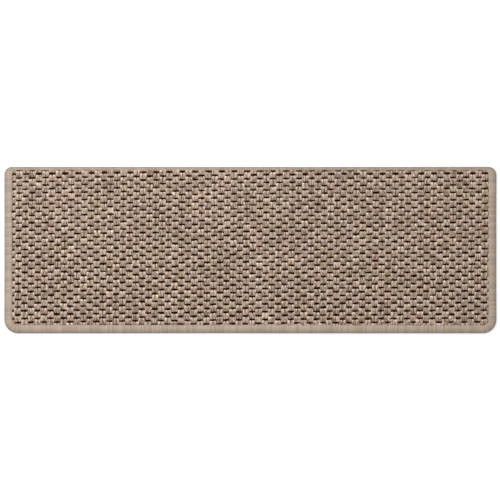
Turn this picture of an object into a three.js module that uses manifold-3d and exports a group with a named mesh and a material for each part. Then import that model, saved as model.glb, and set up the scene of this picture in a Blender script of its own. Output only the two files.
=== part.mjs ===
// Anti-slip stair tread mat: a flat-woven cloth on a rubber backing, its edge wrapped with yarn.
// Millimetres, +Z up. The mat lies on z = 0 with its middle over the origin, its length along X.
// The near edge is towards -Y. The far edge, towards +Y, turns down to a narrow rim.

import * as THREE from 'three';
import { mergeVertices } from 'three/addons/utils/BufferGeometryUtils.js';
import Module from 'manifold-3d';

const wasm = await Module();
wasm.setup();

// Outline
const matLength = 650;
const matDepth = 220;
const nearCornerRadius = 18;
const farCornerRadius = 10;
const leastCornerRadius = 4;
const cornerSteps = 6;

// Layers, and the clearance kept between any two of them
const backingThickness = 2.6;
const clothThickness = 4;
const clearance = 0.3;

// Yarn binding: a low roll over the edge, seen wide on three sides and narrow on the far side
const bindingWidth = 11;
const bindingHeight = 8;
const farBindingWidth = 4;
const farBindingHeight = 6.4;
const underYarn = 1.2;
const sewnClothThickness = 1.4;
const edgeYarn = 2.2;
const crownShare = 0.68;
const underRoundShare = 0.35;
const tipShare = 0.45;
const innerDrop = 0.9;
const rollSteps = 4;
const innerSteps = 2;

// Weave: columns of blocks, each column half a block out of step with the next
const columnPitch = 8.53;
const blockPitch = 10.04;
const columnStart = 3.2;
const weaveRelief = 1.8;
const middleDip = 0.5;
const gapRun = 1.4;

// How the woven cloth lies: off square by these slopes, and bowed and drawn in by these per millimetre
const columnLean = 0.0117;
const rowRise = 0.0098;
const rowBow = 0.00001;
const columnDraw = 0.000018;
const rowDraw = 0.00011;

// Bend of the cloth down to the far edge
const turnRadius = 10;
const turnAngle = THREE.MathUtils.degToRad(33);

const clothBase = backingThickness + clearance;
const sewnTop = clothBase + sewnClothThickness;
const slotTop = sewnTop + clearance;

// A rounded rectangle set in from the mat's outline, counter-clockwise from the near right corner.
function insetLoop(sides, near, far) {
  const right = matLength / 2 - sides;
  const nearY = near - matDepth / 2;
  const farY = matDepth / 2 - far;
  const nearRadius = Math.max(nearCornerRadius - near, leastCornerRadius);
  const farRadius = Math.max(farCornerRadius - far, leastCornerRadius);
  const corners = [
    { x: right - nearRadius, y: nearY + nearRadius, radius: nearRadius, start: -Math.PI / 2 },
    { x: right - farRadius, y: farY - farRadius, radius: farRadius, start: 0 },
    { x: farRadius - right, y: farY - farRadius, radius: farRadius, start: Math.PI / 2 },
    { x: nearRadius - right, y: nearY + nearRadius, radius: nearRadius, start: Math.PI },
  ];
  return corners.flatMap(({ x, y, radius, start }) =>
    Array.from({ length: cornerSteps + 1 }, (_, step) => {
      const angle = start + (step / cornerSteps) * (Math.PI / 2);
      return new THREE.Vector2(x + radius * Math.cos(angle), y + radius * Math.sin(angle));
    }),
  );
}

// A flat plate inside a loop, from height low to height high.
function plate(loop, low, high) {
  const shape = new THREE.Shape(loop);
  const geometry = new THREE.ExtrudeGeometry(shape, { depth: high - low, bevelEnabled: false });
  return geometry.translate(0, 0, low);
}

function solidOf(geometry) {
  const bare = geometry.clone();
  bare.deleteAttribute('normal');
  bare.deleteAttribute('uv');
  const merged = mergeVertices(bare, 1e-4);
  return new wasm.Manifold(
    new wasm.Mesh({
      numProp: 3,
      vertProperties: merged.attributes.position.array,
      triVerts: new Uint32Array(merged.index.array),
    }),
  );
}

function geometryOf(solid) {
  const { vertProperties, triVerts } = solid.getMesh();
  return meshGeometry(vertProperties, triVerts);
}

function meshGeometry(positions, indices) {
  const geometry = new THREE.BufferGeometry();
  geometry.setAttribute('position', new THREE.Float32BufferAttribute(positions, 3));
  geometry.setIndex(Array.from(indices));
  geometry.computeVertexNormals();
  return geometry;
}

// The cloth's surface follows a bend of turnRadius just short of the far binding.
function turnDown(y, z) {
  const turnStart = matDepth / 2 - farBindingWidth - turnRadius * Math.sin(turnAngle);
  const along = Math.max(y - turnStart, 0);
  const angle = Math.min(along / turnRadius, turnAngle);
  const past = along - angle * turnRadius;
  return {
    y: y - along + turnRadius * Math.sin(angle) + past * Math.cos(angle),
    z: z - turnRadius * (1 - Math.cos(angle)) - past * Math.sin(angle),
  };
}

// Where a point of a squarely woven cloth comes to lie on the mat.
function layCloth(x, y) {
  return {
    x: x + columnStart + columnLean * y - columnDraw * x * x,
    y: y + rowRise * x - rowBow * x * x - rowDraw * y * y,
  };
}

// One block of the weave along its column: the lip over the gap, the gap's foot, the block's middle.
const blockProfile = [
  { along: -gapRun / 2, height: clothThickness },
  { along: gapRun / 2, height: clothThickness - weaveRelief },
  { along: blockPitch / 2, height: clothThickness - middleDip },
];

// A piece of weave larger than the mat, each column half a block out of step with its neighbours.
function weaveBlank() {
  const halfColumns = Math.ceil(matLength / 2 / columnPitch);
  const halfBlocks = Math.ceil(matDepth / 2 / blockPitch) + 2;
  const perColumn = (2 * halfBlocks + 1) * blockProfile.length;
  const positions = [];
  const alongColumn = [];
  for (let column = -halfColumns; column <= halfColumns; column += 1) {
    const step = column % 2 === 0 ? 0 : blockPitch / 2;
    for (let block = -halfBlocks; block <= halfBlocks; block += 1) {
      for (const { along, height } of blockProfile) {
        const woven = block * blockPitch + step + along;
        const laid = layCloth(column * columnPitch, woven);
        const turned = turnDown(laid.y, clothBase + height);
        positions.push(laid.x, turned.y, turned.z);
        alongColumn.push(woven);
      }
    }
  }
  const indices = [];
  for (let left = 0; left < 2 * halfColumns * perColumn; left += perColumn) {
    joinColumns(indices, alongColumn, left, perColumn);
  }
  closeBelow(positions, indices, blankRim(2 * halfColumns + 1, perColumn));
  return meshGeometry(positions, indices);
}

// Triangles between one column and the next, taking whichever column's next vertex comes first.
function joinColumns(indices, alongColumn, start, perColumn) {
  let left = start;
  let right = start + perColumn;
  const lastLeft = left + perColumn - 1;
  const lastRight = right + perColumn - 1;
  while (left < lastLeft || right < lastRight) {
    const leftFirst = alongColumn[left + 1] < alongColumn[right + 1];
    if (right === lastRight || (left < lastLeft && leftFirst)) {
      indices.push(left, right, left + 1);
      left += 1;
    } else {
      indices.push(left, right, right + 1);
      right += 1;
    }
  }
}

// The blank's edge vertices, counter-clockwise seen from above.
function blankRim(across, along) {
  const at = (column, vertex) => column * along + vertex;
  const rim = [];
  for (let column = 0; column < across - 1; column += 1) rim.push(at(column, 0));
  for (let vertex = 0; vertex < along - 1; vertex += 1) rim.push(at(across - 1, vertex));
  for (let column = across - 1; column > 0; column -= 1) rim.push(at(column, along - 1));
  for (let vertex = along - 1; vertex > 0; vertex -= 1) rim.push(at(0, vertex));
  return rim;
}

// Walls down from the rim to the cloth's flat underside, and the underside itself.
function closeBelow(positions, indices, rim) {
  const foot = positions.length / 3;
  for (const vertex of rim) positions.push(positions[3 * vertex], positions[3 * vertex + 1], clothBase);
  const centre = positions.length / 3;
  positions.push(0, 0, clothBase);
  rim.forEach((vertex, index) => {
    const next = (index + 1) % rim.length;
    indices.push(vertex, foot + index, rim[next], foot + index, foot + next, rim[next]);
    indices.push(foot + next, foot + index, centre);
  });
}

// The woven cloth: its relief shows inside the binding, and a thinner hem runs under the yarn.
function wovenFace() {
  const hemInset = edgeYarn + clearance;
  const hem = plate(insetLoop(hemInset, hemInset, hemInset), clothBase, sewnTop);
  const shownInset = bindingWidth + clearance;
  const shownLoop = insetLoop(shownInset, shownInset, farBindingWidth + clearance);
  const shown = plate(shownLoop, 0, bindingHeight);
  const relief = solidOf(weaveBlank()).intersect(solidOf(shown));
  return geometryOf(relief.add(solidOf(hem)));
}

// The rubber backing: flat on the tread, and pulled up and thinner where the yarn goes round it.
function rubberBacking() {
  const soleInset = bindingWidth + clearance;
  const hemInset = edgeYarn + clearance;
  const sole = plate(insetLoop(soleInset, soleInset, soleInset), 0, backingThickness);
  const hemLow = underYarn + clearance;
  const hem = plate(insetLoop(hemInset, hemInset, hemInset), hemLow, backingThickness);
  return geometryOf(solidOf(sole).add(solidOf(hem)));
}

// How far a point of the outline belongs to the far edge, from 0 on the sides to 1 on the far edge.
function farShare(station) {
  const corner = Math.floor(station / (cornerSteps + 1));
  const turned = (station % (cornerSteps + 1)) / cornerSteps;
  return [0, turned, 1 - turned, 0][corner];
}

// One section through the binding, from its top inner edge over the roll and round the cloth's hem.
function bindingSection(station, loops) {
  const height = THREE.MathUtils.lerp(bindingHeight, farBindingHeight, farShare(station));
  const outer = loops.outer[station];
  const top = loops.topInner[station];
  const under = loops.underInner[station];
  const hem = loops.hemEnd[station];
  const tip = height * tipShare;
  const points = [];
  const put = (from, to, share, z) => {
    const place = from.clone().lerp(to, share);
    points.push(new THREE.Vector3(place.x, place.y, z));
  };
  for (let step = 0; step < innerSteps; step += 1) {
    const angle = (step / innerSteps) * (Math.PI / 2);
    const share = crownShare + (1 - crownShare) * Math.cos(angle);
    put(outer, top, share, height - innerDrop * (1 - Math.sin(angle)));
  }
  for (let step = 0; step < rollSteps; step += 1) {
    const angle = (1 - step / rollSteps) * (Math.PI / 2);
    put(outer, top, crownShare * (1 - Math.cos(angle)), tip + (height - tip) * Math.sin(angle));
  }
  for (let step = 0; step <= rollSteps; step += 1) {
    const angle = (step / rollSteps) * (Math.PI / 2);
    put(outer, under, underRoundShare * (1 - Math.cos(angle)), tip * (1 - Math.sin(angle)));
  }
  put(outer, under, 1, 0);
  put(outer, under, 1, underYarn);
  put(outer, hem, 1, underYarn);
  put(outer, hem, 1, slotTop);
  put(outer, top, 1, slotTop);
  return points;
}

// The yarn binding: a ring of such sections, with a slot on its inner side that holds the hem.
function edgeBinding() {
  const loops = {
    outer: insetLoop(0, 0, 0),
    hemEnd: insetLoop(edgeYarn, edgeYarn, edgeYarn),
    topInner: insetLoop(bindingWidth, bindingWidth, farBindingWidth),
    underInner: insetLoop(bindingWidth, bindingWidth, bindingWidth),
  };
  const sections = loops.outer.map((_, station) => bindingSection(station, loops));
  const positions = sections.flat().flatMap((point) => point.toArray());
  const count = sections[0].length;
  const indices = [];
  sections.forEach((_, station) => {
    const here = station * count;
    const next = ((station + 1) % sections.length) * count;
    for (let point = 0; point < count; point += 1) {
      const after = (point + 1) % count;
      indices.push(here + point, here + after, next + after);
      indices.push(here + point, next + after, next + point);
    }
  });
  return meshGeometry(positions, indices);
}

function subPart(name, geometry, colour, roughness) {
  const material = new THREE.MeshStandardMaterial({
    color: colour,
    roughness,
    metalness: 0,
    flatShading: true,
  });
  const mesh = new THREE.Mesh(geometry, material);
  mesh.name = name;
  return mesh;
}

const treadMat = new THREE.Group();
treadMat.name = 'stair_tread_mat';
treadMat.add(subPart('woven_face', wovenFace(), 0xb7a089, 0.9));
treadMat.add(subPart('rubber_backing', rubberBacking(), 0x8d857b, 0.8));
treadMat.add(subPart('edge_binding', edgeBinding(), 0xb3a08b, 0.85));

export default treadMat;
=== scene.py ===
"""Dresses the stair tread mat: woven strands, cross cords, yarn binding, rubber backing, studio."""

import logging
import math
import random
from collections.abc import Iterator
from dataclasses import dataclass, field
from enum import Enum
from functools import reduce

import bmesh
import bpy
from mathutils import Euler, Matrix, Vector, noise


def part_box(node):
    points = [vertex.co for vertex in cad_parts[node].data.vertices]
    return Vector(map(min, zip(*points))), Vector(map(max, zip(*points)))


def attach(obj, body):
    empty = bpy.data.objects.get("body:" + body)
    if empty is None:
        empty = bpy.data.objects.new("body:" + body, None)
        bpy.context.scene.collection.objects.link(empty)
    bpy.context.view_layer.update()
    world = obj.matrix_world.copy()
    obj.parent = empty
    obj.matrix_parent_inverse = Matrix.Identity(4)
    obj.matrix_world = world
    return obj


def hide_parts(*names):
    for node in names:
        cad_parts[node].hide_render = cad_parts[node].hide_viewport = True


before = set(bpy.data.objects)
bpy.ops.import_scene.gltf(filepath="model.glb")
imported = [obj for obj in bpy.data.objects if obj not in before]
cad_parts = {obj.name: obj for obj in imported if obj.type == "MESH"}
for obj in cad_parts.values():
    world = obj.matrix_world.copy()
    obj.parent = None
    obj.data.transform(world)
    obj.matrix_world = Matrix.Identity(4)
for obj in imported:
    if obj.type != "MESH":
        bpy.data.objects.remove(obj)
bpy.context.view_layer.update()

log = logging.getLogger("stair_tread_mat")

MM = 0.001
WHITE = (1.0, 1.0, 1.0, 1.0)
# The shapes that are copied or wound start out this long, from -1 to 1.
UNIT_LENGTH = 2
Colour = tuple[float, float, float, float]
Value = bpy.types.NodeSocket | float | Colour | tuple[float, float, float]


def srgb(red: int, green: int, blue: int) -> Colour:
    """Turns a colour as it is seen on a screen into the linear colour that a shader takes.

    Args:
        red: The red part, from 0 to 255.
        green: The green part, from 0 to 255.
        blue: The blue part, from 0 to 255.

    Returns:
        The same colour as linear red, green, blue and a full alpha.
    """
    parts = [part / 255 for part in (red, green, blue)]
    linear = [p / 12.92 if p <= 0.04045 else ((p + 0.055) / 1.055) ** 2.4 for p in parts]
    return (linear[0], linear[1], linear[2], 1.0)


class Corner(Enum):
    """The mat's corners, counter-clockwise."""

    NEAR_RIGHT = 0
    FAR_RIGHT = 1
    FAR_LEFT = 2
    NEAR_LEFT = 3

    @property
    def far(self) -> bool:
        """Tells whether the corner is at the far edge."""
        return self in (Corner.FAR_RIGHT, Corner.FAR_LEFT)

    @property
    def right(self) -> bool:
        """Tells whether the corner is at the mat's right end."""
        return self in (Corner.NEAR_RIGHT, Corner.FAR_RIGHT)

    @property
    def following(self) -> "Corner":
        """Gives the next corner, counter-clockwise."""
        return Corner((self.value + 1) % len(Corner))


class Leg(Enum):
    """The stretches of the mat's outline, by turns a corner and the side that follows it."""

    NEAR_RIGHT = 0
    RIGHT = 1
    FAR_RIGHT = 2
    FAR = 3
    FAR_LEFT = 4
    LEFT = 5
    NEAR_LEFT = 6
    NEAR = 7

    @property
    def straight(self) -> bool:
        """Tells whether the stretch is a side, and not a corner."""
        return self.value % 2 == 1

    @property
    def corner(self) -> Corner:
        """Gives the corner that the stretch is, or that it starts from."""
        return Corner(self.value // 2)


class Side(Enum):
    """The two strands of a block, by the side that they lie on."""

    LEFT = -1
    RIGHT = 1


class Columns(Enum):
    """Every other column of the weave, by what is left of its number when it is halved."""

    EVEN = 0
    ODD = 1

    @property
    def piece_name(self) -> str:
        """Names the piece that these columns make up."""
        return f"weave_{self.name.lower()}_columns"


@dataclass(frozen=True)
class Inset:
    """How far a line lies inside the mat's outline on its sides, near edge and far edge."""

    sides: float
    near: float
    far: float


@dataclass(frozen=True)
class Outline:
    """The mat's rounded outline, seen from above, and the lines that run inside it.

    The line cloth_edge is where the cloth comes out from under the binding.
    """

    half_length: float
    half_depth: float
    near_radius: float = 18 * MM
    far_radius: float = 10 * MM
    least_radius: float = 4 * MM
    cloth_edge: Inset = Inset(sides=11 * MM, near=11 * MM, far=4 * MM)

    def arc(self, inset: Inset, corner: Corner) -> tuple[Vector, float]:
        """Finds one rounded corner of a line inside the outline.

        Args:
            inset: Where the line lies.
            corner: The corner.

        Returns:
            The middle of the corner's arc and its radius.
        """
        radius = self.far_radius - inset.far if corner.far else self.near_radius - inset.near
        radius = max(radius, self.least_radius)
        x = self.half_length - inset.sides - radius
        y = self.half_depth - inset.far - radius if corner.far else inset.near + radius - self.half_depth
        return Vector((x if corner.right else -x, y)), radius

    def on_arc(self, inset: Inset, corner: Corner, share: float) -> Vector:
        """Finds a point on a corner's arc.

        Args:
            inset: Where the line lies.
            corner: The corner.
            share: How far round the arc, from 0 to 1.

        Returns:
            The point's place in X and Y.
        """
        middle, radius = self.arc(inset, corner)
        angle = (corner.value - 1 + share) * math.pi / 2
        return middle + radius * Vector((math.cos(angle), math.sin(angle)))

    def point(self, inset: Inset, leg: Leg, share: float) -> Vector:
        """Finds a point on a line inside the outline.

        Args:
            inset: Where the line lies.
            leg: The stretch of the line.
            share: How far along that stretch, from 0 to 1.

        Returns:
            The point's place in X and Y.
        """
        if not leg.straight:
            return self.on_arc(inset, leg.corner, share)
        start = self.on_arc(inset, leg.corner, 1)
        return start.lerp(self.on_arc(inset, leg.corner.following, 0), share)

    def leg_length(self, leg: Leg) -> float:
        """Measures one stretch of the outline itself.

        Args:
            leg: The stretch.

        Returns:
            Its length.
        """
        edge = Inset(0, 0, 0)
        if leg.straight:
            return (self.point(edge, leg, 1) - self.point(edge, leg, 0)).length
        return self.arc(edge, leg.corner)[1] * math.pi / 2

    def depth_inside(self, inset: Inset, place: Vector) -> float:
        """Measures how far a place lies inside a line.

        Args:
            inset: Where the line lies.
            place: The place in X and Y.

        Returns:
            The distance to the line, below 0 outside it.
        """
        middle, radius = self.arc(inset, Corner.FAR_RIGHT if place.y > 0 else Corner.NEAR_RIGHT)
        past_x = abs(place.x) - middle.x
        past_y = place.y - middle.y if place.y > 0 else middle.y - place.y
        return radius - math.hypot(max(past_x, 0), max(past_y, 0)) - min(max(past_x, past_y), 0)


@dataclass(frozen=True)
class FarBend:
    """The bend that takes the cloth down to the far edge, and reaches its full angle at its end."""

    end: float
    radius: float = 10 * MM
    angle: float = math.radians(33)

    @property
    def start(self) -> float:
        """Gives the place along Y where the bend starts."""
        return self.end - self.radius * math.sin(self.angle)

    def lay(self, along: float) -> tuple[float, float, float]:
        """Lays a point of the cloth over the bend.

        Args:
            along: The point's place along Y on the flat cloth.

        Returns:
            Its place along Y once laid, how far it has dropped, and the cloth's slope there.
        """
        past_start = max(along - self.start, 0)
        slope = min(past_start / self.radius, self.angle)
        straight = past_start - slope * self.radius
        y = along - past_start + self.radius * math.sin(slope) + straight * math.cos(slope)
        drop = self.radius * (1 - math.cos(slope)) + straight * math.sin(slope)
        return y, drop, slope


@dataclass(frozen=True)
class ClothLay:
    """How the squarely woven cloth lies on the mat: a little off square, bowed and drawn in."""

    bend: FarBend
    start: tuple[float, float] = (3.3 * MM, -0.4 * MM)
    column_lean: float = 0.0117
    row_rise: float = 0.0098
    row_bow: float = 0.00001 / MM
    column_draw: float = 0.000018 / MM
    row_draw: float = 0.00011 / MM

    def place(self, across: float, along: float) -> Vector:
        """Lays a point of the cloth on the mat, before its far edge is bent down.

        Args:
            across: The point's place across the columns.
            along: Its place along its column.

        Returns:
            Its place in X and Y.
        """
        x = across + self.start[0] + self.column_lean * along - self.column_draw * across**2
        y = along + self.start[1] + self.row_rise * across
        return Vector((x, y - self.row_bow * across**2 - self.row_draw * along**2))


@dataclass(frozen=True)
class Ramp:
    """A stretch of values, from low to high, and what its two ends are mapped to."""

    low: float
    high: float
    start: float
    end: float


@dataclass(frozen=True)
class Grain:
    """Noise in a finish: its spots to a metre or a map's unit each way, its finer layers, its shade."""

    spots: tuple[float, float, float]
    detail: float
    shade: Ramp = Ramp(0, 1, 0, 1)
    roughness: float = 0.6


@dataclass(frozen=True)
class Gloss:
    """How a surface takes the light."""

    roughness: float
    sheen: float = 0.0
    specular: float = 0.0


@dataclass(frozen=True)
class Relief:
    """How deep a bump is, in metres, and how much of it shows."""

    depth: float
    strength: float


class Finish:
    """A material under construction: one shader and the nodes that feed it."""

    COLOUR_MIX_INPUTS = (0, 6, 7)
    COLOUR_MIX_OUTPUT = 2

    def __init__(self, name: str) -> None:
        """Starts a material that holds only its shader.

        Args:
            name: The material's name.
        """
        self.material = bpy.data.materials.new(name)
        self.material.use_nodes = True
        self.tree = self.material.node_tree
        self.shader = self.tree.nodes["Principled BSDF"]

    def feed(self, node: bpy.types.Node, inputs: dict[str | int, Value]) -> None:
        """Sets or joins a node's inputs.

        Args:
            node: The node.
            inputs: What each input is set to or joined to, by the input's name or number.
        """
        for key, value in inputs.items():
            if isinstance(value, bpy.types.NodeSocket):
                self.tree.links.new(value, node.inputs[key])
            else:
                node.inputs[key].default_value = value

    def add(self, kind: str, inputs: dict[str | int, Value], **settings: str | bool) -> bpy.types.Node:
        """Adds a node.

        Args:
            kind: The node's type, without its leading ShaderNode.
            inputs: What its inputs are set to or joined to.
            **settings: The node's own settings.

        Returns:
            The new node.
        """
        node = self.tree.nodes.new("ShaderNode" + kind)
        for key, value in settings.items():
            setattr(node, key, value)
        self.feed(node, inputs)
        return node

    def maths(self, operation: str, a: Value, b: Value = 0.0) -> bpy.types.NodeSocket:
        """Adds a sum on one or two numbers and returns its result."""
        return self.add("Math", {0: a, 1: b}, operation=operation).outputs[0]

    def product(self, *values: Value) -> bpy.types.NodeSocket:
        """Multiplies numbers together and returns the result."""
        return reduce(lambda a, b: self.maths("MULTIPLY", a, b), values)

    def mix(self, factor: Value, a: Value, b: Value, blend: str = "MIX") -> bpy.types.NodeSocket:
        """Mixes two colours and returns the mixed one."""
        inputs = dict(zip(self.COLOUR_MIX_INPUTS, (factor, a, b)))
        return self.add("Mix", inputs, data_type="RGBA", blend_type=blend).outputs[self.COLOUR_MIX_OUTPUT]

    def tinted(self, colour: Value, light: Value) -> bpy.types.NodeSocket:
        """Multiplies a colour by the light that falls on it and returns the result."""
        return self.mix(1.0, colour, light, "MULTIPLY")

    def ramp(self, value: Value, ramp: Ramp) -> bpy.types.NodeSocket:
        """Maps a number from one range to another, holds it there, and returns it."""
        ends = {"From Min": ramp.low, "From Max": ramp.high, "To Min": ramp.start, "To Max": ramp.end}
        return self.add("MapRange", {"Value": value, **ends}).outputs[0]

    def noise(self, where: Value, grain: Grain) -> bpy.types.NodeSocket:
        """Adds noise over a stretched space.

        Args:
            where: The coordinates that it reads.
            grain: What the noise is like.

        Returns:
            The noise, from 0 to 1, before it is turned into a shade.
        """
        space = self.add("Mapping", {"Vector": where, "Scale": grain.spots})
        layers = {"Scale": 1.0, "Detail": grain.detail, "Roughness": grain.roughness}
        return self.add("TexNoise", {"Vector": space.outputs[0], **layers}).outputs[0]

    def grey(self, level: Value) -> bpy.types.NodeSocket:
        """Turns a number into the grey of that level and returns it."""
        return self.add("CombineColor", {"Red": level, "Green": level, "Blue": level}).outputs[0]

    def warm(self, level: Value, green_fall: float, blue_fall: float) -> bpy.types.NodeSocket:
        """Turns a number into a light that is warmer the dimmer it is, as it is deep among the yarn.

        Args:
            level: The light's red part.
            green_fall: The power of it that gives the green part.
            blue_fall: The power of it that gives the blue part.

        Returns:
            The light's colour.
        """
        green = self.maths("POWER", level, green_fall)
        blue = self.maths("POWER", level, blue_fall)
        return self.add("CombineColor", {"Red": level, "Green": green, "Blue": blue}).outputs[0]

    def bump(self, height: Value, relief: Relief) -> None:
        """Gives the shader a bump."""
        inputs = {"Height": height, "Distance": relief.depth, "Strength": relief.strength}
        self.feed(self.shader, {"Normal": self.add("Bump", inputs).outputs[0]})

    def surface(self, colour: Value, gloss: Gloss) -> None:
        """Sets the shader's colour and how it takes the light."""
        self.feed(self.shader, {"Base Color": colour, "Roughness": gloss.roughness})
        self.feed(self.shader, {"Sheen Weight": gloss.sheen, "Specular IOR Level": gloss.specular})

    def object_space(self) -> bpy.types.NodeSocket:
        """Returns the place on the object, in metres."""
        return self.add("TexCoord", {}).outputs["Object"]


@dataclass(frozen=True)
class StrandFinish:
    """The flat synthetic strands of the weave: beige, each block its own tint, fibres along them."""

    # The two falls warm the painted shade as it dims; darkest is the least painted light.
    green_fall: float = 1.2
    blue_fall: float = 1.4
    darkest: float = 0.03
    fibres: Grain = Grain((2200, 330, 2200), 2.0, Ramp(0.25, 0.75, 0.80, 1.18))
    flecks: Grain = Grain((700, 190, 700), 1.0, Ramp(0.34, 0.64, 0.46, 1.45))
    clouds: Grain = Grain((60, 60, 60), 1.0, Ramp(0.3, 0.7, 0.95, 1.05))
    streaks: Grain = Grain((620, 150, 620), 0.0, Ramp(0.24, 0.38, 0.60, 1.0))
    gloss: Gloss = Gloss(roughness=0.62, sheen=0.06, specular=0.2)
    relief: Relief = Relief(depth=0.2 * MM, strength=0.7)

    def build(self) -> bpy.types.Material:
        """Makes the material, which reads the strands' tint and, in its alpha, their painted light and
        shade.

        Returns:
            The material.
        """
        finish = Finish("woven_strands")
        place = finish.object_space()
        tint = finish.add("Attribute", {}, attribute_name=Strand.TINT_AND_PAINTED_LIGHT)
        grains = (self.fibres, self.flecks, self.clouds, self.streaks)
        spots = [finish.noise(place, grain) for grain in grains]
        shades = [finish.ramp(spot, grain.shade) for spot, grain in zip(spots, grains)]
        # The tint's alpha is painted light and shade, warmed as it dims like shade deep among the yarn.
        painted_light = finish.maths("MAXIMUM", tint.outputs["Alpha"], self.darkest)
        light = finish.warm(finish.product(*shades, painted_light), self.green_fall, self.blue_fall)
        finish.surface(finish.tinted(tint.outputs["Color"], light), self.gloss)
        fibres, flecks, *_ = spots
        finish.bump(finish.maths("ADD", fibres, flecks), self.relief)
        return finish.material


@dataclass(frozen=True)
class BaseClothFinish:
    """The dark cloth and cross cords that show only in the gaps of the weave, near black partly as painted
    shade in those gaps.
    """

    # Near-black brown: the yarn's own dark brown, made darker as painted shade for the deep gaps.
    dark: Colour = srgb(22, 4, 0)
    light: Colour = srgb(46, 17, 1)
    speckle: Grain = Grain((900, 900, 900), 3.0)
    gloss: Gloss = Gloss(roughness=1.0)
    relief: Relief = Relief(depth=0.15 * MM, strength=0.6)

    def build(self) -> bpy.types.Material:
        """Makes the material.

        Returns:
            The material.
        """
        finish = Finish("base_cloth")
        speckle = finish.noise(finish.object_space(), self.speckle)
        finish.surface(finish.mix(speckle, self.dark, self.light), self.gloss)
        finish.bump(speckle, self.relief)
        return finish.material


@dataclass(frozen=True)
class BindingFinish:
    """The binding yarn: pinkish beige by the cloth, greener outside, with painted shade where the roll
    turns down, on its rim, under it and in its furrows.

    Each to_ ramp is read round the edge, from the yarn's inner end on top to the one below, but for the
    furrows' one, which is read over one ply of the yarn.
    """

    inner: Colour = srgb(179, 159, 142)
    # Greener yarn, a little darker as painted shade where the roll turns down.
    outer: Colour = srgb(168, 153, 134)
    # Painted shade on the rim of the roll.
    shaded_rim: Colour = srgb(154, 144, 132)
    # Painted shade in the furrows between the plies.
    furrow: Colour = srgb(106, 90, 76)
    plies: float = 3.0
    drift: Grain = Grain((0.05, 1.5, 1.0), 2.0, Ramp(0.3, 0.7, -0.07, 0.07))
    fuzz: Grain = Grain((5.0, 50.0, 1.0), 3.0, Ramp(0.3, 0.7, 0.84, 1.12))
    own_shade: Ramp = Ramp(0, 1, 0.86, 1.11)
    to_outer: Ramp = Ramp(0.20, 0.32, 0.0, 1.0)
    to_shaded_rim: Ramp = Ramp(0.34, 0.44, 0.0, 1.0)
    # Painted shade on the underside of the roll.
    to_underside_shade: Ramp = Ramp(0.44, 0.58, 1.0, 0.72)
    to_furrow_shade: Ramp = Ramp(0.0, 0.55, 0.40, 0.0)
    gloss: Gloss = Gloss(roughness=0.6, sheen=0.10, specular=0.3)
    relief: Relief = Relief(depth=0.12 * MM, strength=0.6)

    def build(self) -> bpy.types.Material:
        """Makes the material, which reads the wraps' own map: wraps along U, round the edge on V.

        Returns:
            The material.
        """
        finish = Finish("binding_yarn")
        wrap = finish.add("UVMap", {}, uv_map=Binding.WRAP_MAP).outputs[0]
        split = finish.add("SeparateXYZ", {"Vector": wrap})
        count, around = split.outputs["X"], split.outputs["Y"]
        own = finish.add("TexWhiteNoise", {"W": finish.maths("FLOOR", count)}, noise_dimensions="1D")
        ply = finish.maths("FRACT", finish.product(count, self.plies))
        ridge = finish.maths("SINE", finish.product(ply, math.pi))
        drift = finish.noise(wrap, self.drift)
        fuzz = finish.noise(wrap, self.fuzz)
        edge = finish.maths("ADD", around, finish.ramp(drift, self.drift.shade))
        # Greener and a little darker outwards, then the rim's painted shade.
        colour = finish.mix(finish.ramp(edge, self.to_outer), self.inner, self.outer)
        colour = finish.mix(finish.ramp(around, self.to_shaded_rim), colour, self.shaded_rim)
        # Random tone of each wrap and its fuzz, times painted shade on the underside.
        shade = finish.product(
            finish.ramp(own.outputs["Value"], self.own_shade),
            finish.ramp(fuzz, self.fuzz.shade),
            finish.ramp(around, self.to_underside_shade),
        )
        colour = finish.tinted(colour, finish.grey(shade))
        # Painted shade in the furrows between the plies.
        colour = finish.mix(finish.ramp(ridge, self.to_furrow_shade), colour, self.furrow)
        finish.surface(colour, self.gloss)
        finish.bump(finish.maths("ADD", ridge, fuzz), self.relief)
        return finish.material


@dataclass(frozen=True)
class RubberFinish:
    """The backing: matt grey-beige rubber with a fine pebbled skin."""

    pale: Colour = srgb(150, 143, 131)
    deep: Colour = srgb(122, 115, 104)
    clouds: Grain = Grain((25, 25, 25), 3.0)
    pebbles: float = 420
    gloss: Gloss = Gloss(roughness=0.78, specular=0.35)
    relief: Relief = Relief(depth=0.3 * MM, strength=0.5)

    def build(self) -> bpy.types.Material:
        """Makes the material.

        Returns:
            The material.
        """
        finish = Finish("rubber_backing")
        place = finish.object_space()
        clouds = finish.noise(place, self.clouds)
        pebble = finish.add("TexVoronoi", {"Vector": place, "Scale": self.pebbles}).outputs["Distance"]
        finish.surface(finish.mix(clouds, self.deep, self.pale), self.gloss)
        finish.bump(pebble, self.relief)
        return finish.material


@dataclass(frozen=True)
class FloorFinish:
    """The pale studio floor."""

    paper: Colour = (0.60, 0.60, 0.60, 1.0)
    glow: float = 0.48
    gloss: Gloss = Gloss(roughness=1.0)

    def build(self) -> bpy.types.Material:
        """Makes the material, which is seen as white paper with the mat's soft shadow on it.

        Returns:
            The material.
        """
        finish = Finish("studio_floor")
        path = finish.add("LightPath", {})
        seen = finish.maths("MAXIMUM", path.outputs["Is Camera Ray"], path.outputs["Is Glossy Ray"])
        seen = finish.maths("MAXIMUM", seen, path.outputs["Is Transmission Ray"])
        finish.surface(self.paper, self.gloss)
        finish.feed(finish.shader, {"Emission Color": WHITE})
        finish.feed(finish.shader, {"Emission Strength": finish.product(seen, self.glow)})
        return finish.material


def mesh_from(bm: bmesh.types.BMesh, name: str) -> bpy.types.Mesh:
    """Turns a finished bmesh into a mesh.

    Args:
        bm: The bmesh, which is freed.
        name: The mesh's name.

    Returns:
        The mesh.
    """
    mesh = bpy.data.meshes.new(name)
    bm.to_mesh(mesh)
    bm.free()
    return mesh


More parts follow.
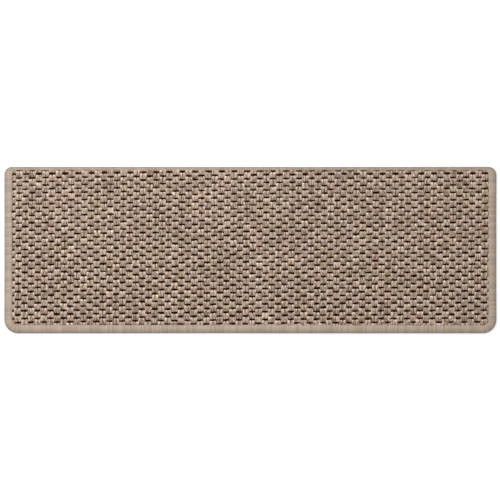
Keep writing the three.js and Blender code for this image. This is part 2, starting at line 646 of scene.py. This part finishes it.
def object_from(mesh: bpy.types.Mesh, material: bpy.types.Material) -> bpy.types.Object:
    """Links a mesh to the scene as an object of the same name.

    Args:
        mesh: The mesh.
        material: What it is dressed in.

    Returns:
        The new object.
    """
    mesh.materials.append(material)
    item = bpy.data.objects.new(mesh.name, mesh)
    bpy.context.scene.collection.objects.link(item)
    return item


def piece_from(bm: bmesh.types.BMesh, name: str, material: bpy.types.Material) -> bpy.types.Object:
    """Turns a finished bmesh into a smooth-shaded piece of the mat.

    Args:
        bm: The bmesh, which is freed.
        name: The piece's name.
        material: What it is dressed in.

    Returns:
        The new object, linked to the scene and riding on the mat's body.
    """
    for face in bm.faces:
        face.smooth = True
    piece = object_from(mesh_from(bm, name), material)
    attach(piece, "root")
    log.info("%s: %d faces", name, len(piece.data.polygons))
    return piece


def full_length_edges(bm: bmesh.types.BMesh, axis: int) -> list[bmesh.types.BMEdge]:
    """Finds the edges that run from end to end of a shape from -1 to 1.

    Args:
        bm: The shape.
        axis: The axis that it is long on, 0 for X and 1 for Y.

    Returns:
        The edges.
    """
    halfway = UNIT_LENGTH / 2
    return [edge for edge in bm.edges if abs(edge.verts[0].co[axis] - edge.verts[1].co[axis]) > halfway]


def is_upright(edge: bmesh.types.BMEdge, tolerance: float = 0.01 * MM) -> bool:
    """Tells whether an edge runs straight up."""
    return (edge.verts[0].co - edge.verts[1].co).xy.length < tolerance


@dataclass(frozen=True)
class Ring:
    """One ring of vertices round a strand: its place, width and height as shares, and its painted light and
    shade.

    The side by the other strand of the block is dimmer than the outer one by twice its seam share, as
    painted shade in the seam between them.
    """

    along: float
    wide: float
    high: float
    light: float
    seam: float


@dataclass
class Strand:
    """One flat strand where it passes over a cross cord: square at its near end, rounded at its far one."""

    TINT_AND_PAINTED_LIGHT = "tint"

    width: float = 4.4 * MM
    height: float = 2.6 * MM
    sides: int = 8
    fullness: float = 0.52
    # Each ring's light is painted light and shade: a painted highlight near the far end, painted shade at
    # both tips.
    rings: tuple[Ring, ...] = (
        Ring(along=-1.00, wide=0.92, high=0.45, light=0.22, seam=0.25),
        Ring(along=-0.90, wide=1.12, high=0.88, light=1.10, seam=0.10),
        Ring(along=-0.45, wide=1.20, high=0.98, light=1.08, seam=0.04),
        Ring(along=0.05, wide=1.18, high=1.00, light=1.07, seam=0.04),
        Ring(along=0.45, wide=1.17, high=1.00, light=1.40, seam=0.05),
        Ring(along=0.80, wide=0.95, high=0.88, light=1.75, seam=0.22),
        Ring(along=1.00, wide=0.48, high=0.42, light=0.40, seam=0.40),
    )

    def build(self, side: Side) -> bpy.types.Mesh:
        """Makes the strand, one metre long on Y, centred in X and Y, with its underside at z = 0.

        Args:
            side: Which strand of its block it is.

        Returns:
            The strand's mesh, whose tint attribute holds painted light and shade in its alpha.
        """
        bm = bmesh.new()
        bmesh.ops.create_cone(
            bm, cap_ends=True, segments=self.sides, radius1=1, radius2=1, depth=UNIT_LENGTH
        )
        upright = Matrix.Rotation(-math.pi / 2, 3, "X") @ Matrix.Rotation(math.pi / self.sides, 3, "Z")
        bmesh.ops.rotate(bm, verts=bm.verts, matrix=upright)
        bmesh.ops.subdivide_edges(
            bm, edges=full_length_edges(bm, 1), cuts=len(self.rings) - 2, use_grid_fill=True
        )
        tint = bm.verts.layers.float_color.new(self.TINT_AND_PAINTED_LIGHT)
        for vertex in bm.verts:
            ring = self.rings[round((vertex.co.y + 1) / UNIT_LENGTH * (len(self.rings) - 1))]
            x = math.copysign(abs(vertex.co.x) ** self.fullness, vertex.co.x) * ring.wide
            z = math.copysign(abs(vertex.co.z) ** self.fullness, vertex.co.z)
            high = (z + 1) / 2 * ring.high
            vertex.co = (x * self.width / 2, ring.along / 2, high * self.height)
            # The alpha is painted light and shade: a highlight near the far end, shade at the tips, down
            # the sides and in the seam.
            vertex[tint] = (1, 1, 1, ring.light * (z + 1) / 2 * (1 + ring.seam * side.value * x))
        bmesh.ops.recalc_face_normals(bm, faces=bm.faces)
        return mesh_from(bm, "strand")


@dataclass(frozen=True)
class LaidStrand:
    """One strand's place on the mat, its tint, and which side of its block it is on."""

    side: Side
    place: Matrix
    tint: Vector


@dataclass(frozen=True)
class Dye:
    """The colour of the strands' yarn, which drifts over the mat and from block to block."""

    base: Colour = srgb(158, 136, 118)
    pink: tuple[float, float, float] = (0.020, -0.020, 0.004)
    green: tuple[float, float, float] = (0.0, 0.010, -0.042)
    green_layer: float = 9.5
    drift_length: float = 19 * MM
    drift: float = 1.45
    spread: float = 0.38
    shade_spread: float = 0.07

    def colour(self, place: Vector, draw: random.Random) -> Colour:
        """Picks the colour of one block.

        Args:
            place: The block's place in X and Y.
            draw: Where chance comes from.

        Returns:
            The block's linear colour.
        """
        here = (place / self.drift_length).to_3d()
        pink = self.drift * noise.noise(here) + draw.gauss(0, self.spread)
        here.z = self.green_layer
        green = self.drift * noise.noise(here) + draw.gauss(0, self.spread)
        light = 1 + draw.gauss(0, self.shade_spread)
        parts = [
            base * light * (1 + pink * to_pink + green * to_green)
            for base, to_pink, to_green in zip(self.base, self.pink, self.green)
        ]
        return (parts[0], parts[1], parts[2], 1.0)


@dataclass(frozen=True)
class Looseness:
    """How far the weave strays from a perfect one: spreads of chance, and limits of a strand's shade."""

    block_across: float = 0.26 * MM
    block_along: float = 0.10 * MM
    block_turn: float = 0.015
    strands_apart: float = 0.10 * MM
    strand_length: float = 0.18 * MM
    strand_turn: float = 0.025
    strand_lift: float = 0.12 * MM
    strand_along: float = 0.12 * MM
    dimmest: float = 0.92
    lightest: float = 1.08


@dataclass
class Weave:
    """The woven face: columns of blocks, two strands to a block, over dark cross cords.

    The sizes under_sides, under_near and under_far say how far it runs on beneath the binding.
    """

    outline: Outline
    lay: ClothLay
    crest: float
    base: float
    base_top: float = 4.3 * MM
    column_pitch: float = 8.53 * MM
    block_pitch: float = 10.04 * MM
    gap: float = 1.8 * MM
    block_tilt: float = math.radians(1.5)
    under_sides: float = 1.6 * MM
    under_near: float = 2.0 * MM
    under_far: float = 1.8 * MM
    shortest: float = 2.5 * MM
    narrowest: float = 1.0 * MM
    cord_radius: float = 0.8 * MM
    cord_middle: float = 4.7 * MM
    cord_sides: int = 8
    cord_cuts: int = 8
    fewest_places: int = 3
    corner_steps: int = 6
    seed: int = 12
    strand: Strand = field(default_factory=Strand)
    dye: Dye = field(default_factory=Dye)
    loose: Looseness = field(default_factory=Looseness)

    def blocks(self, columns: Columns) -> Iterator[tuple[int, float]]:
        """Goes through the blocks of every other column.

        Args:
            columns: Which columns.

        Yields:
            Each block's column and its middle along its column.
        """
        last_column = math.ceil(self.outline.half_length / self.column_pitch) + 1
        last_block = math.ceil(self.outline.half_depth / self.block_pitch) + 1
        step = (1 + columns.value) / 2
        for column in range(-last_column, last_column + 1):
            if column % 2 == columns.value:
                for block in range(-last_block, last_block + 1):
                    yield column, (block + step) * self.block_pitch

    def laid_strands(self, columns: Columns) -> list[LaidStrand]:
        """Works out how the strands of every other column lie.

        Args:
            columns: Which columns.

        Returns:
            The strands that show.
        """
        draw = random.Random(self.seed - columns.value)
        loose = self.loose
        strands: list[LaidStrand] = []
        for column, middle in self.blocks(columns):
            colour = self.dye.colour(self.lay.place(self.column_pitch * column, middle), draw)
            shift = draw.gauss(0, loose.block_across)
            slip = draw.gauss(0, loose.block_along)
            apart = abs(draw.gauss(0, loose.strands_apart))
            yaw = draw.gauss(0, loose.block_turn)
            for side in Side:
                across = self.column_pitch * (column + side.value / 4) + shift + side.value * apart
                length = self.block_pitch - self.gap + draw.gauss(0, loose.strand_length)
                turn = yaw + draw.gauss(0, loose.strand_turn)
                lift = draw.gauss(0, loose.strand_lift)
                own = draw.uniform(loose.dimmest, loose.lightest)
                along = middle + slip + draw.gauss(0, loose.strand_along)
                place = self.strand_place(across, along, length, lift, turn)
                if place is not None:
                    strands.append(LaidStrand(side, place, own * Vector(colour)))
        return strands

    def strand_place(
        self, across: float, along: float, length: float, lift: float, yaw: float
    ) -> Matrix | None:
        """Places one strand on the mat, cut off where it runs on under the binding.

        Args:
            across: The strand's middle across the columns.
            along: Its middle along its column.
            length: Its full length.
            lift: How far it stands above the others.
            yaw: How far it lies off the column's direction.

        Returns:
            The strand's place, or None where the binding covers it all.
        """
        shown = self.outline.cloth_edge
        flat = self.lay.place(across, along)
        low = max(flat.y - length / 2, shown.near - self.under_near - self.outline.half_depth)
        farthest = self.outline.half_depth - shown.far + self.under_far
        high = flat.y + length / 2
        high -= max(self.lay.bend.lay(high)[0] - farthest, 0)
        y, drop, slope = self.lay.bend.lay((low + high) / 2)
        edge = self.outline.half_length - shown.sides + self.under_sides
        outer = min(abs(flat.x) + self.strand.width / 2, edge)
        width = outer - abs(flat.x) + self.strand.width / 2
        x = math.copysign(outer - width / 2, flat.x)
        hidden = self.outline.depth_inside(shown, Vector((x, y))) < -self.under_sides
        if hidden or width < self.narrowest or high - low < self.shortest:
            return None
        place = Matrix.Translation((x, y, self.crest - self.strand.height - drop + lift))
        turn = Matrix.Rotation(yaw - self.lay.column_lean, 4, "Z")
        tilt = Matrix.Rotation(self.block_tilt - slope, 4, "X")
        return place @ turn @ tilt @ Matrix.Diagonal((width / self.strand.width, high - low, 1, 1))

    def build_columns(self, columns: Columns, material: bpy.types.Material) -> bpy.types.Object:
        """Makes every other column of strands.

        Args:
            columns: Which columns.
            material: What they are dressed in.

        Returns:
            The columns, as one piece.
        """
        units = {side: self.strand.build(side) for side in Side}
        bm = bmesh.new()
        for laid in self.laid_strands(columns):
            copy = units[laid.side].copy()
            copy.transform(laid.place)
            for value in copy.attributes[Strand.TINT_AND_PAINTED_LIGHT].data:
                # The alpha keeps the strand's painted light and shade.
                value.color = (*laid.tint[:3], value.color[3])
            bm.from_mesh(copy)
            bpy.data.meshes.remove(copy)
        for unit in units.values():
            bpy.data.meshes.remove(unit)
        return piece_from(bm, columns.piece_name, material)

    def build_cross_cords(self, material: bpy.types.Material) -> bpy.types.Object:
        """Makes the dark cords that run along the mat under the gaps, one to each row.

        Args:
            material: What they are dressed in.

        Returns:
            The cords, as one piece.
        """
        unit = self.build_cord_unit()
        bm = bmesh.new()
        rows = math.ceil(2 * self.outline.half_depth / self.block_pitch) + 1
        for row in range(-rows, rows + 1):
            level = row * self.block_pitch / 2
            span = self.cord_span(level)
            if span is not None:
                cord = unit.copy()
                self.lay_cord(cord, level, *span)
                bm.from_mesh(cord)
                bpy.data.meshes.remove(cord)
        bpy.data.meshes.remove(unit)
        return piece_from(bm, "cross_cords", material)

    def build_cord_unit(self) -> bpy.types.Mesh:
        """Makes a straight cord from x = -1 to x = 1, cut into lengths that can follow a bow.

        Returns:
            The cord's mesh.
        """
        bm = bmesh.new()
        bmesh.ops.create_cone(
            bm, cap_ends=True, segments=self.cord_sides, radius1=self.cord_radius, radius2=self.cord_radius,
            depth=UNIT_LENGTH, matrix=Matrix.Rotation(math.pi / 2, 4, "Y"),
        )
        bmesh.ops.subdivide_edges(
            bm, edges=full_length_edges(bm, 0), cuts=self.cord_cuts, use_grid_fill=True
        )
        return mesh_from(bm, "cord")

    def cord_span(self, level: float) -> tuple[float, float] | None:
        """Finds the stretch over which a cross cord shows, from left to right across the columns.

        Args:
            level: The cord's place along the columns.

        Returns:
            Its two ends, or None where the binding covers it all.
        """
        edge = self.outline.cloth_edge
        lowest = edge.near - self.under_near - self.outline.half_depth
        highest = self.outline.half_depth - edge.far
        reach = self.outline.half_length - edge.sides
        last = math.ceil(2 * self.outline.half_length / self.column_pitch)
        steps = [step * self.column_pitch / 2 for step in range(-last, last + 1)]
        places = [(across, self.lay.place(across, level)) for across in steps]
        shown = [
            across
            for across, flat in places
            if abs(flat.x) < reach and lowest < flat.y and self.lay.bend.lay(flat.y)[0] < highest
        ]
        return (shown[0], shown[-1]) if len(shown) >= self.fewest_places else None

    def lay_cord(self, cord: bpy.types.Mesh, level: float, left: float, right: float) -> None:
        """Lays a straight cord on the mat, bowed as the rows are.

        Args:
            cord: The cord's mesh, from x = -1 to x = 1.
            level: Its place along the columns.
            left: Its left end across the columns.
            right: Its right end.
        """
        for vertex in cord.vertices:
            flat = self.lay.place(left + (vertex.co.x + 1) / UNIT_LENGTH * (right - left), level)
            y, drop, _ = self.lay.bend.lay(flat.y)
            vertex.co = (flat.x, y + vertex.co.y, self.cord_middle - drop + vertex.co.z)

    def build_base_cloth(self, hem: float, material: bpy.types.Material) -> bpy.types.Object:
        """Makes the cloth's flat ground, which runs out under the binding as its hem.

        Args:
            hem: How far inside the mat's outline the hem ends.
            material: What it is dressed in.

        Returns:
            The base cloth.
        """
        bm = bmesh.new()
        length = 2 * (self.outline.half_length - hem)
        depth = 2 * (self.outline.half_depth - hem)
        place = Matrix.Translation((0, 0, (self.base + self.base_top) / 2))
        size = Matrix.Diagonal((length, depth, self.base_top - self.base, 1))
        bmesh.ops.create_cube(bm, size=1, matrix=place @ size)
        for corner in (Corner.NEAR_RIGHT, Corner.FAR_RIGHT):
            side = 1 if corner.far else -1
            upright = [edge for edge in bm.edges if is_upright(edge) and edge.verts[0].co.y * side > 0]
            bmesh.ops.bevel(
                bm, geom=upright, offset=self.outline.arc(Inset(hem, hem, hem), corner)[1],
                affect="EDGES", segments=self.corner_steps, profile=0.5, material=-1,
            )
        return piece_from(bm, "base_cloth", material)


@dataclass(frozen=True)
class LinePoint:
    """One point of the line round the binding.

    It tells whether the point is measured on the top, its share of the width from the outline in, its
    height as a share of the roll above the outermost line, or of what is below it where that is under 0,
    and how far it drops from there.
    """

    on_top: bool
    across: float
    rise: float
    drop: float = 0.0


@dataclass(frozen=True)
class Section:
    """One section through the binding, and how far the outer colour and the painted shade of its rim and
    underside are moved up there.
    """

    points: list[Vector]
    shade_lift: float


@dataclass
class Binding:
    """The yarn wrapped over the mat's edge, wrap by wrap, as one closed ring."""

    WRAP_MAP = "wrap"

    outline: Outline
    height: float
    far_height: float = 6.4 * MM
    width: float = 11.4 * MM
    far_width: float = 4.9 * MM
    under_yarn: float = 1.2 * MM
    slot_top: float = 4.6 * MM
    crown_share: float = 0.68
    under_round: float = 0.35
    tip_share: float = 0.45
    inner_drop: float = 0.9 * MM
    wrap_pitch: float = 2.65 * MM
    reach_spread: float = 0.045
    furrow_depth: float = 0.5 * MM
    sink_spread: float = 0.08 * MM
    wander: float = 0.2 * MM
    wander_waves: tuple[int, ...] = (1, 2, 4)
    wander_stretch: tuple[float, float] = (1, 3)
    # Moves the outer colour and the painted shade of the rim and underside up the roll on the far edge, as
    # painted shade there.
    far_shade_lift: float = 0.10
    stations: int = 4
    inner_steps: int = 3
    roll_steps: int = 6
    under_steps: int = 4
    weld: float = 0.001 * MM
    seed: int = 23

    def line_round(self) -> list[LinePoint]:
        """Describes the line round the binding, from its top inner edge out, round and under.

        Returns:
            The line's points.
        """
        quarter = math.pi / 2
        points = []
        for step in range(self.inner_steps):
            angle = step / self.inner_steps * quarter
            across = self.crown_share + (1 - self.crown_share) * math.cos(angle)
            points.append(LinePoint(True, across, 1.0, self.inner_drop * (1 - math.sin(angle))))
        for step in range(self.roll_steps):
            angle = (1 - step / self.roll_steps) * quarter
            points.append(LinePoint(True, self.crown_share * (1 - math.cos(angle)), math.sin(angle)))
        for step in range(self.under_steps + 1):
            angle = step / self.under_steps * quarter
            points.append(LinePoint(False, self.under_round * (1 - math.cos(angle)), -math.sin(angle)))
        points.append(LinePoint(False, 1.0, -1.0))
        return points

    def far_share(self, leg: Leg, share: float) -> float:
        """Tells how much a place belongs to the far edge, from 0 on the sides to 1 there."""
        return {Leg.FAR_RIGHT: share, Leg.FAR: 1.0, Leg.FAR_LEFT: 1 - share}.get(leg, 0.0)

    def section_at(self, leg: Leg, share: float, furrow: float, reach: float, pull: float) -> Section:
        """Works out one section through the binding.

        Args:
            leg: The stretch of the outline.
            share: How far along that stretch.
            furrow: How deep the section lies below the wraps' crests.
            reach: How much further than usual the wrap reaches onto the cloth, as a share.
            pull: How far the yarn pulls the mat's outline in.

        Returns:
            The section, the last two points of which are hidden under the cloth.
        """
        far = self.far_share(leg, share)
        height = self.height + (self.far_height - self.height) * far
        tip = height * self.tip_share
        outer = self.outline.point(Inset(pull, pull, pull), leg, share)
        top = self.outline.point(Inset(self.width, self.width, self.far_width), leg, share)
        under = self.outline.point(Inset(self.width, self.width, self.width), leg, share)
        core = outer.lerp(top, 0.5).to_3d() + Vector((0, 0, tip))
        points = []
        for line in self.line_round():
            inner, across = (top, line.across * (1 + reach)) if line.on_top else (under, line.across)
            place = outer.lerp(inner, across)
            z = tip + (line.rise * (height - tip) if line.rise > 0 else line.rise * tip) - line.drop
            point = Vector((place.x, place.y, z))
            inwards = core - point
            points.append(point + inwards.normalized() * min(furrow, inwards.length / 2))
        points.append(Vector((under.x, under.y, self.under_yarn)))
        points.append(Vector((top.x, top.y, self.slot_top)))
        return Section(points, self.far_shade_lift * far)

    def sections(self) -> list[Section]:
        """Works out every section, a few to each wrap, all the way round the mat.

        Returns:
            The sections, counter-clockwise from the near right corner.
        """
        draw = random.Random(self.seed)
        most = len(self.wander_waves)
        sections = []
        for leg in Leg:
            wraps = max(1, round(self.outline.leg_length(leg) / self.wrap_pitch))
            waves = [
                (draw.uniform(*self.wander_stretch) * number, draw.uniform(0, math.tau))
                for number in self.wander_waves
            ]
            for wrap in range(wraps):
                reach = draw.gauss(0, self.reach_spread)
                sink = abs(draw.gauss(0, self.sink_spread))
                for station in range(self.stations):
                    swell = math.sin(station / self.stations * math.pi)
                    share = (wrap + station / self.stations) / wraps
                    furrow = self.furrow_depth * (1 - swell) + sink * swell
                    wave = sum(math.sin(math.tau * times * share + start) for times, start in waves)
                    pull = self.wander * math.sin(math.pi * share) * (most + wave) / (2 * most)
                    sections.append(self.section_at(leg, share, furrow, reach * swell, pull))
        return sections

    def build(self, material: bpy.types.Material) -> bpy.types.Object:
        """Makes the binding from a grid that is wound round the edge and closed on itself.

        Args:
            material: What it is dressed in.

        Returns:
            The binding.
        """
        sections = self.sections()
        along, around = len(sections), len(sections[0].points)
        bm = bmesh.new()
        bmesh.ops.create_grid(bm, x_segments=along, y_segments=around, size=UNIT_LENGTH / 2)
        wrap_map = bm.loops.layers.uv.new(self.WRAP_MAP)
        for vertex in bm.verts:
            station = round((vertex.co.x + 1) / UNIT_LENGTH * along)
            step = round((vertex.co.y + 1) / UNIT_LENGTH * around)
            section = sections[station % along]
            for loop in vertex.link_loops:
                # V is moved by the section's lift of painted shade.
                loop[wrap_map].uv = (station / self.stations, step / around + section.shade_lift)
            vertex.co = section.points[step % around]
        bmesh.ops.remove_doubles(bm, verts=bm.verts, dist=self.weld)
        bmesh.ops.recalc_face_normals(bm, faces=bm.faces)
        return piece_from(bm, "yarn_binding", material)


@dataclass
class Studio:
    """A pale floor, soft light from above, a little from the far left, and a camera straight above.

    The sizes photo_width, mat_width and mat_middle are in pixels of the photograph, and lens and
    sensor in millimetres.
    """

    photo_width: float = 500
    mat_width: float = 492.5
    mat_middle: tuple[float, float] = (250.35, 250.05)
    lens: float = 100
    sensor: float = 36
    widest_level: float = 3.6 * MM
    key_strength: float = 1.42
    key_softness: float = math.radians(26)
    key_distance: float = 3.0
    key_elevation: float = math.radians(73)
    key_turn: float = math.radians(38)
    side_power: float = 5.6
    side_size: float = 0.7
    side_distance: float = 1.1
    side_elevation: float = math.radians(58)
    side_turn: float = math.radians(48)
    fill_strength: float = 0.36
    floor_size: float = 12.0
    floor_drop: float = 0.1 * MM

    def build_floor(self) -> None:
        """Makes the floor that the mat lies on."""
        bm = bmesh.new()
        place = Matrix.Translation((0, 0, -self.floor_drop))
        bmesh.ops.create_grid(bm, x_segments=1, y_segments=1, size=self.floor_size / 2, matrix=place)
        object_from(mesh_from(bm, "studio_floor"), FloorFinish().build())

    def hang_lamp(self, lamp: bpy.types.Light, distance: float, elevation: float, turn: float) -> None:
        """Hangs a lamp that shines at the middle of the mat.

        Args:
            lamp: The lamp.
            distance: How far off it hangs.
            elevation: How high it hangs, as an angle.
            turn: How far it hangs to the left of the far side, as an angle.
        """
        holder = bpy.data.objects.new(lamp.name, lamp)
        aim = Euler((elevation - math.pi / 2, 0, turn))
        holder.location = aim.to_matrix() @ Vector((0, 0, distance))
        holder.rotation_euler = aim
        bpy.context.scene.collection.objects.link(holder)

    def build_lamps(self) -> None:
        """Adds the key light and a soft box lower down, both nearer the far left corner."""
        key = bpy.data.lights.new("key_light", "SUN")
        key.energy = self.key_strength
        key.angle = self.key_softness
        self.hang_lamp(key, self.key_distance, self.key_elevation, self.key_turn)
        side = bpy.data.lights.new("soft_box", "AREA")
        side.shape = "DISK"
        side.size = self.side_size
        side.energy = self.side_power
        self.hang_lamp(side, self.side_distance, self.side_elevation, self.side_turn)

    def build_room(self) -> None:
        """Adds the room, which is seen as white and gives an even light of its own strength."""
        world = bpy.data.worlds.new("room")
        world.use_nodes = True
        bpy.context.scene.world = world
        nodes, links = world.node_tree.nodes, world.node_tree.links
        path = nodes.new("ShaderNodeLightPath")
        seen = nodes.new("ShaderNodeMath")
        seen.operation = "MAXIMUM"
        links.new(path.outputs["Is Camera Ray"], seen.inputs[0])
        links.new(path.outputs["Is Transmission Ray"], seen.inputs[1])
        level = nodes.new("ShaderNodeMapRange")
        level.inputs["To Min"].default_value = self.fill_strength
        links.new(seen.outputs[0], level.inputs["Value"])
        background = nodes["Background"]
        background.inputs["Color"].default_value = WHITE
        links.new(level.outputs[0], background.inputs["Strength"])

    def build_camera(self, mat_length: float) -> None:
        """Adds the camera, which looks straight down with the far edge at the top of the picture.

        Args:
            mat_length: The mat's real length, which sets the scale of the picture.
        """
        pixel = mat_length / self.mat_width
        distance = self.lens / self.sensor * self.photo_width * pixel
        lens = bpy.data.cameras.new("camera")
        lens.lens = self.lens
        lens.sensor_width = self.sensor
        camera = bpy.data.objects.new("camera", lens)
        centre = self.photo_width / 2
        camera.location = (
            (centre - self.mat_middle[0]) * pixel,
            (self.mat_middle[1] - centre) * pixel,
            distance + self.widest_level,
        )
        bpy.context.scene.collection.objects.link(camera)
        bpy.context.scene.camera = camera


def dress_backing() -> None:
    """Gives the rubber backing, whose shape is right as it stands, its material."""
    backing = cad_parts["rubber_backing"]
    backing.data.materials.clear()
    backing.data.materials.append(RubberFinish().build())
    log.info("rubber_backing: dressed")


def main() -> None:
    """Builds the mat's pieces in order, then the studio, and sets the view's colours."""
    logging.basicConfig(level=logging.INFO, format="%(name)s %(message)s")
    low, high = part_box("edge_binding")
    cloth_low, cloth_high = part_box("woven_face")
    outline = Outline(half_length=high.x, half_depth=high.y)
    strands = StrandFinish().build()
    base = BaseClothFinish().build()
    bend = FarBend(end=outline.half_depth - outline.cloth_edge.far)
    weave = Weave(outline, ClothLay(bend), crest=cloth_high.z, base=cloth_low.z)
    dress_backing()
    cloth = weave.build_base_cloth(high.x - cloth_high.x, base)
    cords = weave.build_cross_cords(base)
    even = weave.build_columns(Columns.EVEN, strands)
    odd = weave.build_columns(Columns.ODD, strands)
    for piece in (cloth, cords, even, odd):
        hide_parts("woven_face")
    binding = Binding(outline, height=high.z).build(BindingFinish().build())
    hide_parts("edge_binding")
    studio = Studio()
    studio.build_floor()
    studio.build_lamps()
    studio.build_room()
    studio.build_camera(high.x - low.x)
    bpy.context.scene.view_settings.view_transform = "Standard"


if __name__ == "__main__":
    main()
